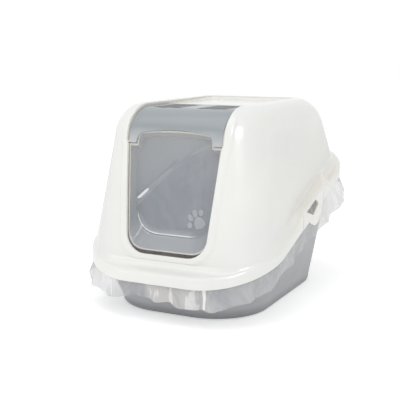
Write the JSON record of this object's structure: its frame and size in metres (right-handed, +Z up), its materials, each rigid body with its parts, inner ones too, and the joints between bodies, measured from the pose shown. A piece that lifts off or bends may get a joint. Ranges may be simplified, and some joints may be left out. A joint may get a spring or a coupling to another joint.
{
  "type": "hooded cat litter box",
  "caption": "Covered cat litter box: high-backed tray with film liner, lift-off hood, swinging door, vented roof cover and side latches.",
  "frame": {"origin": "on the floor under the middle of the box, in its length and its width", "axes": "+Z up, -Y out of the doorway, +X to the right as seen from the front"},
  "size_m": [0.4116, 0.5816, 0.384],
  "materials": {
    "tray_plastic": "satin grey polypropylene with a fine moulded grain",
    "liner_film": "thin translucent polyethylene film, creased",
    "hood_plastic": "glossy white polypropylene",
    "cover_plastic": "satin blue-grey polypropylene",
    "door_clear": "glossy smoke-tinted clear polycarbonate",
    "filter_foam": "black carbon-loaded fibre pad"
  },
  "bodies": {
    "tray": {"tray": "tray_plastic", "bag_liner": "liner_film"},
    "hood": {"hood": "hood_plastic", "filter_pad": "filter_foam"},
    "door": {"door": "door_clear"},
    "roof_cover": {"roof_cover": "cover_plastic"},
    "latch_left": {"side_latch_left": "hood_plastic"},
    "latch_right": {"side_latch_right": "hood_plastic"}
  },
  "joints": [
    {"name": "hood_lift", "type": "slide", "parent": "tray", "child": "hood", "axis": [0, 0, 1], "range_m": [0, 0.2]},
    {"name": "door_swing", "type": "hinge", "parent": "hood", "child": "door", "pos_m": [0, -0.203, 0.3115], "axis": [1, 0, 0], "range_deg": [-70, 70]},
    {"name": "cover_open", "type": "hinge", "parent": "hood", "child": "roof_cover", "pos_m": [0, -0.045, 0.3775], "axis": [1, 0, 0], "range_deg": [-100, 0]},
    {"name": "latch_left_flex", "type": "hinge", "parent": "hood", "child": "latch_left", "pos_m": [-0.1935, 0.005, 0.1948], "axis": [0, 0.9499, 0.3125], "range_deg": [0, 12], "stiffness_Nm_per_rad": 0.6},
    {"name": "latch_right_flex", "type": "hinge", "parent": "hood", "child": "latch_right", "pos_m": [0.1935, 0.005, 0.1948], "axis": [0, -0.9499, -0.3125], "range_deg": [0, 12], "stiffness_Nm_per_rad": 0.6}
  ]
}
